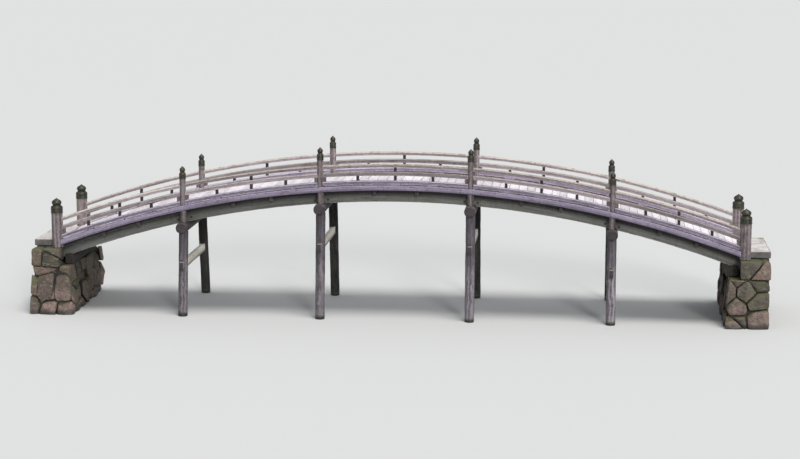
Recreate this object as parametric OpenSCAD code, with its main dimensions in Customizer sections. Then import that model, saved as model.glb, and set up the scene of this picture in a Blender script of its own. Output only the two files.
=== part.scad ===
// Arched timber footbridge on four pairs of raking log piles, with a low railing,
// onion-shaped bronze post caps and a stone abutment under each end.
// Frame: X runs along the bridge, Y across it, Z up. The origin is at the centre
// of the bridge on the water line. Near is -Y, left is -X. Millimetres.

/* [Arch] */
// Distance between the end posts, along the bridge
span = 16400; // [13660:20:19680]
// Rise of the deck from the end posts to its crown
rise = 1480; // [1230:10:1780]
// Height of the deck's crown above the water line
crown_height = 3210; // [2670:10:3860]
// Length of the middle bay, between the two inner bents
middle_bay = 3570; // [2970:10:4280]
// Length of the bay on each side of the middle one
side_bay = 3320; // [2760:10:3980]

/* [Deck] */
// Distance between the two post lines, across the bridge
rail_spacing = 2260; // [1880:10:2720]
// Thickness of the deck planks
deck_thickness = 75; // [60:1:100]
// Distance that the deck reaches beyond the posts over the bents
deck_overhang = 10; // [2:1:40]
// Height of the board that closes the plank ends
fascia_height = 115; // [95:1:140]
// Thickness of that board
fascia_thickness = 40; // [30:1:50]

/* [Girders] */
// Width of a girder
girder_width = 160; // [130:1:200]
// Depth of a girder
girder_depth = 350; // [290:1:420]
// Space between an outer girder and the end posts beside it
girder_clearance = 15; // [5:1:60]
// Width of a cross tie through the girders
cross_tie_width = 90; // [75:1:110]
// Height of a cross tie
cross_tie_height = 110; // [90:1:130]
// Depth of a cross tie's top below the top of the girders
cross_tie_drop = 75; // [50:1:90]
// Distance that a cross tie stands out past the outer girders
cross_tie_end = 90; // [70:1:120]

/* [Bents] */
// Diameter of a log pile
pile_diameter = 230; // [190:1:280]
// Distance from the post line in to a pile's axis under the cap beam
pile_inset = 20; // [0:5:60]
// Distance that a pile's foot stands out from its top, across the bridge
pile_splay = 280; // [150:5:340]
// Diameter of the log that a cap beam is sawn from
cap_log_diameter = 280; // [260:1:330]
// Height of a cap beam between its two sawn faces
cap_beam_height = 220; // [190:1:240]
// Distance that a cap beam stands out past the piles' axes
cap_beam_end = 280; // [230:5:340]
// Depth of the seats that are cut into a cap beam for the girders
girder_seat = 25; // [25:1:40]
// Width of the tie beam that passes through the piles of a bent
tie_beam_width = 100; // [80:1:120]
// Height of the tie beam
tie_beam_height = 190; // [160:1:230]
// Depth of the tie beam's top below the deck's top
tie_beam_drop = 1330; // [1110:10:1450]
// Distance that the tie beam stands out past the piles' axes
tie_beam_end = 260; // [220:5:310]

/* [Railing] */
// Diameter of a post over a bent
post_diameter = 150; // [125:1:180]
// Height of such a post's shoulder above the deck
post_height = 640; // [560:5:760]
// Diameter of an end post
end_post_diameter = 270; // [225:1:325]
// Height of an end post's shoulder above the deck
end_post_height = 690; // [590:5:820]
// Width of the curb beam
curb_width = 130; // [110:1:140]
// Height of the curb beam's top above the deck
curb_height = 110; // [92:1:132]
// Height of the drain slots under the curb beam
drain_height = 28; // [20:1:34]
// Length of the foot that is left between two drain slots
curb_foot = 220; // [160:5:300]
// Height of the middle rail's underside above the deck
mid_rail_height = 226; // [190:1:250]
// Depth of the middle rail
mid_rail_depth = 92; // [77:1:110]
// Width of the middle rail
mid_rail_width = 90; // [75:1:105]
// Height of the top rail's underside above the deck
top_rail_height = 420; // [370:1:480]
// Depth of the top rail
top_rail_depth = 84; // [70:1:100]
// Width of the top rail
top_rail_width = 92; // [76:1:105]
// Chamfer along the top rail's upper edges
top_rail_chamfer = 24; // [15:1:30]
// Side of a square strut
strut_width = 66; // [55:1:80]

/* [Post caps] */
// Height of the cap on a post over a bent
cap_height = 320; // [270:5:380]
// Height of the cap on an end post
end_cap_height = 370; // [310:5:440]
// Wall of a post cap at its barrel
cap_wall = 8; // [5:1:12]
// Distance that a cap's barrel stands out past the post
cap_reveal = 4; // [2:1:6]

/* [Abutments] */
// Space between the end posts and the sill beam, along the bridge
sill_clearance = 15; // [12:1:18]
// Height of the sill beam
sill_height = 240; // [200:5:290]
// Width of the sill beam
sill_width = 200; // [165:5:240]
// Distance that the sill beam stands out past the outer girders
sill_end = 100; // [50:5:160]
// Distance that the abutment's shelf reaches past the sill beam
shelf_front = 35; // [30:1:60]
// Distance that the abutment's front face leans out from the shelf to the water line
front_batter = 110; // [90:5:135]
// Distance from the end posts to the side of the abutment, at its top
abutment_margin = 235; // [150:5:300]
// Distance that each side of the abutment leans out from its top to the water line
side_batter = 130; // [100:10:160]
// Length of the abutment's back wall, along the bridge
back_wall = 470; // [390:10:560]
// Thickness of the stone threshold at the end of the deck
threshold_thickness = 150; // [125:5:180]

/* [Fits] */
// Clearance where two curved faces meet
fit_gap = 0.3; // [0.2:0.1:0.5]
// Joint between two lengths of the same timber
butt_gap = 3; // [2:0.5:5]
// Joint between the stone threshold and each end post
stone_gap = 10; // [5:1:15]
// Space between a post's head and the top of the socket in its cap
cap_play = 10; // [5:1:20]

/* [Hidden] */
bays = 5;
ties_in_bay = [0.36, 0.64];
struts_in_bay = [0.25, 0.5, 0.75];
near = -1;
far = 1;
left = -1;
right = 1;
arc_faces = 720;
round_faces = 96;
slack = 50;
// Share of a post's radius at which the timbers that butt against it are cut before fitting
housing_share = 0.7;
// Distance that such timbers first run into an end post, past where a curb's edges meet it
end_housing = 10;

half_span = span / 2;
rail_line = rail_spacing / 2;
post_radius = post_diameter / 2;
end_post_radius = end_post_diameter / 2;
deck_half = rail_line + post_radius + deck_overhang;
girder_spacing = rail_line - end_post_radius - girder_clearance - girder_width / 2;
girder_reach = girder_spacing + girder_width / 2;
pile_top_offset = rail_line - pile_inset;
pile_foot_offset = pile_top_offset + pile_splay;
inner_bent = middle_bay / 2;
outer_bent = inner_bent + side_bay;
stations = [-half_span, -outer_bent, -inner_bent, inner_bent, outer_bent, half_span];
bents = [-outer_bent, -inner_bent, inner_bent, outer_bent];

// The deck's top is one arc. Every curved timber is concentric with it.
arch_radius = (half_span * half_span + rise * rise) / (2 * rise);
arch_centre = crown_height - arch_radius;
girder_top = -deck_thickness - fit_gap;
girder_bottom = girder_top - girder_depth;
cross_tie_line = girder_top - cross_tie_drop - cross_tie_height / 2;
mid_rail_top = mid_rail_height + mid_rail_depth;

// Height of the arc that lies offset above the deck's top, at the distance x from the centre
function arc_z(x, offset = 0) =
    arch_centre + sqrt(pow(arch_radius + offset, 2) - x * x);
// Angle from the crown to the distance x along the same arc
function arc_angle(x, offset = 0) = asin(x / (arch_radius + offset));
function along(bay, share) = stations[bay] * (1 - share) + stations[bay + 1] * share;
function is_end(x) = abs(x) > half_span - 1;
function post_radius_at(x) = is_end(x) ? end_post_radius : post_radius;
function housing(x) =
    is_end(x)
    ? sqrt(pow(end_post_radius, 2) - pow(curb_width / 2, 2)) - end_housing
    : housing_share * post_radius;
// The two ends of a timber that butts against the posts of a bay, as far as inside them
function rail_from(bay) = stations[bay] + housing(stations[bay]);
function rail_to(bay) = stations[bay + 1] - housing(stations[bay + 1]);

sill_x = half_span - end_post_radius - sill_clearance - sill_width / 2;
shelf_z = arc_z(sill_x, girder_bottom) + girder_seat - sill_height;
end_z = arc_z(half_span);
shelf_edge_x = sill_x - sill_width / 2 - shelf_front;
wall_front_x = half_span + end_post_radius + stone_gap;
wall_back_x = wall_front_x + back_wall;
// The cheeks of the abutment stand beside the girders' ends, under the end posts
cheek_front_x = half_span - end_post_radius - sill_clearance / 3;
cheek_inner_y = girder_reach + girder_clearance / 2;
wall_top = end_z - threshold_thickness;

// Building blocks

// The profile in its children, swept along the arch between two angles from the crown. Its X is
// the height above the deck's top and its Y is the distance across the bridge.
module sweep(start, end) {
    turn = end - start;
    over_crown = start < 0 && end > 0;
    translate([0, 0, arch_centre])
        rotate([90, 0, 0])
            rotate([0, 0, 90 - end])
                rotate_extrude(angle = turn, $fn = over_crown ? even_faces(turn) : arc_faces)
                    translate([arch_radius, 0])
                        mirror([0, 1]) children();
}

// Faces for a full turn that give an arc over the crown an even number of steps, so that one of
// them ends at the crown. A full turn has about 256 such steps.
function even_faces(turn) = floor(720 * max(floor(turn * 256 / 720), 1) / turn);

// The same profile, cut plumb at both ends. The heights low and high bound it, so that the
// sweep starts and stops at the outermost corner of each plumb cut.
module plumb_sweep(x_from, x_to, low, high) {
    between(x_from, x_to)
        sweep(arc_angle(x_from, x_from < 0 ? low : high), arc_angle(x_to, x_to > 0 ? low : high))
            children();
}

// What is between two upright planes across the bridge
module between(x_from, x_to) {
    intersection() {
        children();
        translate([x_from, -2 * rail_spacing, -crown_height])
            cube([x_to - x_from, 4 * rail_spacing, 4 * crown_height]);
    }
}

// A curved timber of rectangular section
module arch_bar(x_from, x_to, low, high, y_centre, width) {
    plumb_sweep(x_from, x_to, low, high)
        translate([low, y_centre - width / 2]) square([high - low, width]);
}

// An upright cylinder at each of the two posts of a bay, for what fits round them
module post_holes(bay, side) {
    for (x = [stations[bay], stations[bay + 1]])
        translate([x, side * rail_line, 0])
            cylinder(r = post_radius_at(x) + fit_gap, h = 2 * crown_height, $fn = round_faces);
}

// A log with a sawn top and underside, lying across the bridge with its top at z = 0
module sawn_log(diameter, height, length) {
    intersection() {
        translate([0, 0, -height / 2])
            rotate([90, 0, 0])
                cylinder(d = diameter, h = length, center = true, $fn = round_faces);
        translate([-diameter, -length, -height]) cube([2 * diameter, 2 * length, height]);
    }
}

// The space that a cross tie takes, with a gap all round
module cross_tie_space(x, gap) {
    translate([x, 0, arc_z(x, cross_tie_line)])
        rotate([0, arc_angle(x), 0])
            cube([cross_tie_width + 2 * gap, 2 * (girder_reach + cross_tie_end),
                  cross_tie_height + 2 * gap], center = true);
}

module each_cross_tie(gap) {
    for (bay = [0 : bays - 1], share = ties_in_bay)
        cross_tie_space(along(bay, share), gap);
}

// The space that the tie beam of a bent takes
module tie_beam_space(x, gap) {
    top = arc_z(x) - tie_beam_drop;
    middle = top - tie_beam_height / 2;
    reach = pile_y(x, middle) + tie_beam_end;
    translate([x, 0, middle])
        cube([tie_beam_width + 2 * gap, 2 * reach, tie_beam_height + 2 * gap], center = true);
}

// Substructure

function cap_top(x) = arc_z(x, girder_bottom) + girder_seat;
function pile_top(x) = cap_top(x) - cap_beam_height;
// Distance from the centre plane to a pile's axis at the height z
function pile_y(x, z) =
    pile_foot_offset + (pile_top_offset - pile_foot_offset) * z / pile_top(x);

module pile(x, side) {
    top = pile_top(x);
    lean = atan2(pile_foot_offset - pile_top_offset, top);
    color("dimgray") difference() {
        intersection() {
            translate([x, side * pile_foot_offset, 0])
                rotate([side * lean, 0, 0])
                    translate([0, 0, -pile_diameter])
                        cylinder(d = pile_diameter, h = 2 * top, $fn = round_faces);
            translate([x - pile_diameter, -2 * pile_foot_offset, 0])
                cube([2 * pile_diameter, 4 * pile_foot_offset, top]);
        }
        tie_beam_space(x, fit_gap);
    }
}

module cap_beam(x) {
    color("gray") difference() {
        translate([x, 0, cap_top(x)])
            sawn_log(cap_log_diameter, cap_beam_height, 2 * (pile_top_offset + cap_beam_end));
        girder_spaces(x - cap_log_diameter, x + cap_log_diameter);
    }
}

module tie_beam(x) {
    color("tan") tie_beam_space(x, 0);
}

// The space that the girders take over a beam
module girder_spaces(x_from, x_to) {
    for (y = [-girder_spacing, 0, girder_spacing])
        arch_bar(x_from, x_to, girder_bottom - fit_gap, 0, y, girder_width + 2 * fit_gap);
}

module sills() {
    reach = girder_reach + sill_end;
    color("gray") for (end = [left, right])
        difference() {
            translate([end * sill_x - sill_width / 2, -reach, shelf_z])
                cube([sill_width, 2 * reach, sill_height]);
            girder_spaces(end * sill_x - sill_width, end * sill_x + sill_width);
        }
}

// The outline is that of the right-hand abutment, seen from the near side. The girders and the
// sill lie in the bay that is cut out of it between its two cheeks.
module abutment(end) {
    outline = [
        [shelf_edge_x - front_batter, 0], [shelf_edge_x, shelf_z],
        [cheek_front_x, shelf_z], [cheek_front_x, wall_top],
        [wall_back_x, wall_top], [wall_back_x, 0]
    ];
    head = rail_line + end_post_radius + abutment_margin;
    foot = head + side_batter;
    color("rosybrown") mirror([end == left ? 1 : 0, 0, 0])
        difference() {
            intersection() {
                rotate([90, 0, 0])
                    linear_extrude(4 * foot, center = true) polygon(outline);
                rotate([90, 0, 90])
                    linear_extrude(span)
                        polygon([[-foot, 0], [foot, 0], [head, wall_top], [-head, wall_top]]);
            }
            translate([sill_x, -cheek_inner_y, shelf_z])
                cube([wall_front_x - sill_x, 2 * cheek_inner_y, wall_top]);
        }
}

module thresholds() {
    width = rail_spacing - end_post_diameter - 2 * stone_gap;
    color("silver") for (end = [left, right])
        mirror([end == left ? 1 : 0, 0, 0])
            translate([half_span + butt_gap, -width / 2, wall_top])
                cube([wall_back_x - half_span - butt_gap, width, threshold_thickness]);
}

// Girders and deck

module girder(y) {
    color("slategray") difference() {
        for (bay = [0 : bays - 1])
            arch_bar(stations[bay] + butt_gap / 2, stations[bay + 1] - butt_gap / 2,
                     girder_bottom, girder_top, y, girder_width);
        each_cross_tie(fit_gap);
    }
}

module cross_ties() {
    color("darkslategray") each_cross_tie(0);
}

module deck_bay(bay) {
    color("gainsboro") difference() {
        arch_bar(stations[bay] + butt_gap / 2, stations[bay + 1] - butt_gap / 2,
                 -deck_thickness, 0, 0, 2 * deck_half);
        post_holes(bay, near);
        post_holes(bay, far);
    }
}

// The boards run past the posts over the bents and stop against the end posts
module fascia(side) {
    stop = sqrt(pow(end_post_radius + fit_gap, 2) - pow(deck_half - rail_line, 2));
    color("thistle") for (bay = [0 : bays - 1])
        arch_bar(stations[bay] + (bay == 0 ? stop : butt_gap / 2),
                 stations[bay + 1] - (bay == bays - 1 ? stop : butt_gap / 2),
                 -fascia_height, 0, side * (deck_half + fit_gap + fascia_thickness / 2),
                 fascia_thickness);
}

// Railing

// One length of curb, between two posts and shaped to them
module curb_length(bay, side) {
    difference() {
        arch_bar(rail_from(bay), rail_to(bay), fit_gap, curb_height,
                 side * rail_line, curb_width);
        post_holes(bay, side);
    }
}

module drain_section(side) {
    translate([-slack, side * rail_line - curb_width])
        square([slack + drain_height, 2 * curb_width]);
}

// The spaces under a curb, between its feet at the posts and under the struts. Over the crown
// all of them are parts of one sweep, whose steps are then those of the curb itself.
module drain_slots(bay, side) {
    feet = concat([0], struts_in_bay, [1]);
    over_crown = stations[bay] < 0 && stations[bay + 1] > 0;
    for (k = [0 : len(feet) - 2]) {
        x_from = along(bay, feet[k]) + curb_foot / 2;
        x_to = along(bay, feet[k + 1]) - curb_foot / 2;
        if (over_crown)
            between(x_from, x_to)
                sweep(arc_angle(stations[bay], curb_height), arc_angle(stations[bay + 1], curb_height))
                    drain_section(side);
        else
            plumb_sweep(x_from, x_to, -slack, drain_height) drain_section(side);
    }
}

module curb(side) {
    color("thistle") for (bay = [0 : bays - 1])
        difference() {
            curb_length(bay, side);
            drain_slots(bay, side);
        }
}

module mid_rail(side) {
    color("rosybrown") for (bay = [0 : bays - 1])
        difference() {
            arch_bar(rail_from(bay), rail_to(bay), mid_rail_height, mid_rail_top,
                     side * rail_line, mid_rail_width);
            post_holes(bay, side);
        }
}

// Square below, where the struts meet it, and chamfered above
module top_rail_section() {
    half_width = top_rail_width / 2;
    polygon([
        [0, -half_width], [top_rail_depth - top_rail_chamfer, -half_width],
        [top_rail_depth, top_rail_chamfer - half_width],
        [top_rail_depth, half_width - top_rail_chamfer],
        [top_rail_depth - top_rail_chamfer, half_width], [0, half_width]
    ]);
}

module top_rail(side) {
    color("tan") for (bay = [0 : bays - 1])
        difference() {
            plumb_sweep(rail_from(bay), rail_to(bay), top_rail_height,
                        top_rail_height + top_rail_depth)
                translate([top_rail_height, side * rail_line]) top_rail_section();
            post_holes(bay, side);
        }
}

// A plumb square strut whose ends follow the timbers above and below it
module strut(x, side, low, high) {
    edges = [x - strut_width / 2, x + strut_width / 2];
    translate([0, side * rail_line, 0])
        rotate([90, 0, 0])
            linear_extrude(strut_width, center = true)
                polygon([
                    [edges[0], arc_z(edges[0], low + fit_gap)],
                    [edges[1], arc_z(edges[1], low + fit_gap)],
                    [edges[1], arc_z(edges[1], high - fit_gap)],
                    [edges[0], arc_z(edges[0], high - fit_gap)]
                ]);
}

// Each bay has three short struts under the middle rail, and the middle one carries on
// above it to the top rail
module struts(side) {
    color("rosybrown") for (bay = [0 : bays - 1]) {
        for (share = struts_in_bay)
            strut(along(bay, share), side, curb_height, mid_rail_height);
        strut(along(bay, 0.5), side, mid_rail_top, top_rail_height);
    }
}

// A round post with a shoulder and a thinner head that the cap fits over
module round_post(x, side, radius, foot_z, height, cap_h) {
    shoulder_z = arc_z(x) + height;
    translate([x, side * rail_line, 0]) {
        translate([0, 0, foot_z])
            cylinder(r = radius, h = shoulder_z - foot_z, $fn = round_faces);
        translate([0, 0, foot_z])
            cylinder(r = socket_radius(radius) - fit_gap,
                     h = shoulder_z - foot_z + socket_share * cap_h - cap_play,
                     $fn = round_faces);
    }
}

module posts(side) {
    color("rosybrown") for (x = bents)
        round_post(x, side, post_radius, cap_top(x), post_height, cap_height);
}

module end_posts(side) {
    color("rosybrown") for (x = [-half_span, half_span])
        round_post(x, side, end_post_radius, wall_top, end_post_height, end_cap_height);
}

// Post caps. Heights are shares of the cap's height and radii are shares of its barrel's.
socket_share = 0.34;
shoulder_share = 0.38;
neck_share = 0.47;
collar_share = 0.52;
belly_share = 0.68;
hollow_share = 0.86;
neck_radius = 0.56;
collar_radius = 0.72;
belly_radius = 0.84;
curve_steps = 12;

function socket_radius(radius) = radius + cap_reveal - cap_wall;

// Radius of the bulb at the share t of the cap's height, from the collar to the tip
function bulb_radius(t) =
    t < belly_share
    ? neck_radius + (belly_radius - neck_radius)
        * sqrt(1 - pow((belly_share - t) / (belly_share - collar_share), 2))
    : belly_radius * bulb_taper((t - belly_share) / (1 - belly_share));
// The upper curve turns from full to hollow, and ends in a point
function bulb_taper(u) = pow(max(cos(90 * u), 0), 1 + 0.9 * u);

// One raised band round the barrel, as steps of the outline
function band(low, high, proud) = [[1, low], [1 + proud, low], [1 + proud, high], [1, high]];

function cap_outline() = concat(
    [[0, 0]],
    band(0, 0.045, 0.06), band(0.16, 0.185, 0.035), band(0.3, 0.33, 0.05),
    [for (k = [0 : curve_steps])
        let (turn = 90 * k / curve_steps)
        [neck_radius + (1 - neck_radius) * cos(turn),
         shoulder_share + (neck_share - shoulder_share) * sin(turn)]],
    [[collar_radius, neck_share], [collar_radius, collar_share]],
    [for (k = [0 : 2 * curve_steps])
        let (t = collar_share + (1 - collar_share) * k / (2 * curve_steps))
        [bulb_radius(t), t]]
);

// The hollow runs up through the neck and into the bulb, where the wall is thicker
function cap_hollow(wall_share) =
    let (bulb_wall = 1.6 * wall_share)
    concat(
        [[0, -0.1], [1 - wall_share, -0.1], [1 - wall_share, socket_share],
         [neck_radius - bulb_wall, neck_share]],
        [for (k = [0 : curve_steps])
            let (t = collar_share + (hollow_share - collar_share) * k / curve_steps)
            [bulb_radius(t) - bulb_wall, t]],
        [[0, hollow_share + 0.01]]
    );

module post_cap(x, side, radius, height, post_h) {
    barrel = radius + cap_reveal;
    translate([x, side * rail_line, arc_z(x) + post_h])
        difference() {
            rotate_extrude($fn = round_faces)
                polygon([for (p = cap_outline()) [p[0] * barrel, p[1] * height]]);
            rotate_extrude($fn = round_faces)
                polygon([for (p = cap_hollow(cap_wall / barrel)) [p[0] * barrel, p[1] * height]]);
        }
}

module finials(side) {
    color("darkolivegreen") for (x = stations)
        if (is_end(x))
            post_cap(x, side, end_post_radius, end_cap_height, end_post_height);
        else
            post_cap(x, side, post_radius, cap_height, post_height);
}

// The nodes

abutment(left);  // abutment_left
abutment(right);  // abutment_right
thresholds();
sills();
pile(bents[0], near);  // pile_near_1
pile(bents[1], near);  // pile_near_2
pile(bents[2], near);  // pile_near_3
pile(bents[3], near);  // pile_near_4
pile(bents[0], far);  // pile_far_1
pile(bents[1], far);  // pile_far_2
pile(bents[2], far);  // pile_far_3
pile(bents[3], far);  // pile_far_4
cap_beam(bents[0]);  // cap_beam_1
cap_beam(bents[1]);  // cap_beam_2
cap_beam(bents[2]);  // cap_beam_3
cap_beam(bents[3]);  // cap_beam_4
tie_beam(bents[0]);  // tie_beam_1
tie_beam(bents[1]);  // tie_beam_2
tie_beam(bents[2]);  // tie_beam_3
tie_beam(bents[3]);  // tie_beam_4
girder(-girder_spacing);  // girder_near
girder(0);  // girder_middle
girder(girder_spacing);  // girder_far
cross_ties();
deck_bay(0);  // deck_bay_1
deck_bay(1);  // deck_bay_2
deck_bay(2);  // deck_bay_3
deck_bay(3);  // deck_bay_4
deck_bay(4);  // deck_bay_5
fascia(near);  // fascia_near
fascia(far);  // fascia_far
curb(near);  // curb_near
curb(far);  // curb_far
end_posts(near);  // end_posts_near
end_posts(far);  // end_posts_far
posts(near);  // posts_near
posts(far);  // posts_far
struts(near);  // struts_near
struts(far);  // struts_far
mid_rail(near);  // mid_rail_near
mid_rail(far);  // mid_rail_far
top_rail(near);  // top_rail_near
top_rail(far);  // top_rail_far
finials(near);  // finials_near
finials(far);  // finials_far
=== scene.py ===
"""The visible model of an arched timber footbridge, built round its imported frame.

Metres, X along the bridge, Y across it, Z up, the water line at z = 0. Near is -Y.
"""

from itertools import product
from math import asin, atan2, cos, exp, pi, radians, sin, sqrt

import bmesh
import bpy
import numpy as np
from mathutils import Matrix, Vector, noise
from numpy.linalg import norm


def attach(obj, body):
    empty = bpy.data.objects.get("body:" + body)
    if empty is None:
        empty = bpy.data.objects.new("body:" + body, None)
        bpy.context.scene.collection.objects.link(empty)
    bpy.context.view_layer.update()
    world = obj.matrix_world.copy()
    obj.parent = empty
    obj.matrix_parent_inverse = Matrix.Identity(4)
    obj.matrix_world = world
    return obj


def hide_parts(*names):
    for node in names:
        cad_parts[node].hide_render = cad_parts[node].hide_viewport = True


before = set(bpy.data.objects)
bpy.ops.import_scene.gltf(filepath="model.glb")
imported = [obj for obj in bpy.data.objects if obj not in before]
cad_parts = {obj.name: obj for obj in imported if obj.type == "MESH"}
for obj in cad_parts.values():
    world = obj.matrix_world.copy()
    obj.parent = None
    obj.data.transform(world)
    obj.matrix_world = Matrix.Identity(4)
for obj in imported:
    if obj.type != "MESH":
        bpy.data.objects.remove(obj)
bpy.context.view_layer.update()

# Sizes of the frame
SPAN, RISE, CROWN = 16.4, 1.48, 3.21
MIDDLE_BAY, SIDE_BAY = 3.57, 3.32
RAIL_LINE = 1.13
DECK_THICKNESS, DECK_HALF = 0.075, 1.215
FASCIA_HEIGHT, FASCIA_THICKNESS = 0.115, 0.04
GIRDER_WIDTH, GIRDER_DEPTH, GIRDER_SPACING = 0.16, 0.35, 0.9
TIE_WIDTH, TIE_HEIGHT, TIE_DROP, TIE_END = 0.09, 0.11, 0.075, 0.09
PILE_DIAMETER, PILE_TOP_OFFSET, PILE_FOOT_OFFSET = 0.23, 1.11, 1.39
CAP_LOG, CAP_BEAM_HEIGHT, CAP_BEAM_END, GIRDER_SEAT = 0.28, 0.22, 0.28, 0.025
TIE_BEAM_WIDTH, TIE_BEAM_HEIGHT, TIE_BEAM_DROP, TIE_BEAM_END = 0.1, 0.19, 1.33, 0.26
POST_RADIUS, POST_HEIGHT, POST_CAP = 0.075, 0.64, 0.32
END_RADIUS, END_HEIGHT, END_CAP = 0.135, 0.69, 0.37
CURB_WIDTH, CURB_HEIGHT, DRAIN_HEIGHT, CURB_FOOT = 0.13, 0.11, 0.028, 0.22
MID_RAIL_LOW, MID_RAIL_DEPTH, MID_RAIL_WIDTH = 0.226, 0.092, 0.09
TOP_RAIL_LOW, TOP_RAIL_DEPTH, TOP_RAIL_WIDTH, TOP_RAIL_CHAMFER = 0.42, 0.084, 0.092, 0.024
STRUT = 0.066
CAP_REVEAL = 0.004
SILL_CLEARANCE, SILL_HEIGHT, SILL_WIDTH, SILL_END = 0.015, 0.24, 0.2, 0.1
SHELF_FRONT, FRONT_BATTER, ABUTMENT_MARGIN, SIDE_BATTER = 0.035, 0.11, 0.235, 0.13
BACK_WALL, THRESHOLD = 0.47, 0.15
FIT_GAP, BUTT_GAP, STONE_GAP = 0.0003, 0.003, 0.01

HALF = SPAN / 2
RADIUS = (HALF**2 + RISE**2) / (2 * RISE)
CENTRE = CROWN - RADIUS
INNER = MIDDLE_BAY / 2
OUTER = INNER + SIDE_BAY
STATIONS = [-HALF, -OUTER, -INNER, INNER, OUTER, HALF]
ARC_STATIONS = [asin(x / RADIUS) * RADIUS for x in STATIONS]
BENTS = STATIONS[1:5]
BAYS = range(5)
SIDES = {"near": -1, "far": 1}
GIRDER_LINES = {"near": -GIRDER_SPACING, "middle": 0.0, "far": GIRDER_SPACING}
GIRDER_TOP = -DECK_THICKNESS - FIT_GAP
GIRDER_BOTTOM = GIRDER_TOP - GIRDER_DEPTH
TIE_LINE = GIRDER_TOP - TIE_DROP - TIE_HEIGHT / 2


def arc_z(x, offset=0.0):
    return CENTRE + np.sqrt((RADIUS + offset) ** 2 - np.square(x))


def along(bay, share):
    return STATIONS[bay] * (1 - share) + STATIONS[bay + 1] * share


def post_radius(x):
    return POST_RADIUS if x in BENTS else END_RADIUS


def cap_top(x):
    return arc_z(x, GIRDER_BOTTOM) + GIRDER_SEAT


def pile_top(x):
    return cap_top(x) - CAP_BEAM_HEIGHT


def pile_y(x, z):
    return PILE_FOOT_OFFSET + (PILE_TOP_OFFSET - PILE_FOOT_OFFSET) * z / pile_top(x)


SILL_X = HALF - END_RADIUS - SILL_CLEARANCE - SILL_WIDTH / 2
SHELF_Z = arc_z(SILL_X, GIRDER_BOTTOM) + GIRDER_SEAT - SILL_HEIGHT
WALL_FRONT = HALF + END_RADIUS + STONE_GAP
WALL_BACK = WALL_FRONT + BACK_WALL
WALL_TOP = arc_z(HALF) - THRESHOLD
CHEEK_FRONT = HALF - END_RADIUS - SILL_CLEARANCE / 3
GIRDER_FACE = GIRDER_SPACING + GIRDER_WIDTH / 2
CHEEK_INNER = GIRDER_FACE + 0.0075

draw = np.random.default_rng(7)
uniform = draw.uniform
scene = bpy.context.scene


def bumps(points, scale, seed=0.0):
    """Smooth noise from -1 to 1 at each point of an array whose last axis is XYZ."""
    flat = np.reshape(points, (-1, 3)) * scale + (seed, 1.7 * seed, -seed)
    return np.reshape([noise.noise(p) for p in flat], np.shape(points)[:-1])


def triples(x, y, z):
    """Three arrays or numbers joined point by point."""
    return np.stack(np.broadcast_arrays(x, y, z), axis=-1)


def linked(name, data):
    """A new object in the scene."""
    thing = bpy.data.objects.new(name, data)
    scene.collection.objects.link(thing)
    return thing


# Meshes

SHARP_ANGLE = radians(38)


class Shape:
    """A mesh in the making. Grain is where a point lies in its own timber or stone, and looks
    holds its tone, its wear and how far it is end grain, each from 0 to 1."""

    def __init__(self):
        self.tables, self.faces, self.smooth, self.count = ([], [], []), [], [], 0

    def add(self, rows, faces, smooth):
        """Rows are points, grain and looks. Smooth has one flag for each face."""
        for table, row in zip(self.tables, rows):
            table.append(row)
        self.faces += [tuple(i + self.count for i in f) for f in faces]
        self.smooth += smooth
        self.count += len(rows[0])

    def loft(self, points, grain, looks, smooth=False, fans=True):
        """Rings of points joined side by side. Each end is closed by a fan of triangles
        round its middle, or else by one face."""
        rings, size = points.shape[:2]
        last = (rings - 1) * size
        sides = [(i + j, i + (j + 1) % size, i + size + (j + 1) % size, i + size + j)
                 for i in range(0, last, size) for j in range(size)]
        rows = [r.reshape(-1, 3) for r in (points, grain, looks)]
        if fans:
            ends = [(start + j, start + (j + 1) % size, last + size + k)
                    for k, start in enumerate((0, last)) for j in range(size)]
            rows = [np.vstack([r, r[:size].mean(axis=0), r[last:].mean(axis=0)]) for r in rows]
        else:
            ends = [tuple(range(size)), tuple(range(last, last + size))]
        self.add(rows, sides + ends, [smooth] * len(sides) + [False] * len(ends))

    def piece(self, name, material, slot=None, nodes=()):
        points, grain, looks = [np.concatenate(table) for table in self.tables]
        mesh = bpy.data.meshes.new(name)
        mesh.from_pydata(points.tolist(), [], self.faces)
        made = bmesh.new()
        made.from_mesh(mesh)
        bmesh.ops.recalc_face_normals(made, faces=made.faces)
        made.to_mesh(mesh)
        made.free()
        mesh.polygons.foreach_set("use_smooth", self.smooth)
        mesh.set_sharp_from_angle(angle=SHARP_ANGLE)
        for title, rows in (("grain", grain), ("looks", looks)):
            held = mesh.attributes.new(title, "FLOAT_VECTOR", "POINT")
            held.data.foreach_set("vector", rows.astype(np.float32).ravel())
        mesh.materials.append(material)
        thing = linked(name, mesh)
        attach(thing, "root")
        if nodes:
            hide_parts(*nodes)


# Each place turns a timber's own t, a and b into points. T runs along it, and a and b are
# where a point lies in its section.


def on_arc(y, offset=0.0):
    """Along the arch: t is x, a goes across and b is height above the deck's arc."""
    return lambda t, a, b: triples(t, y + a, arc_z(t, offset + b))


def along_y(x, z):
    return lambda t, a, b: triples(x + a, t, z + b)


def upright(x, y):
    return lambda t, a, b: triples(x + a, y + b, t)


ROW_STEP, NARROW = 0.06, 0.01


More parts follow.
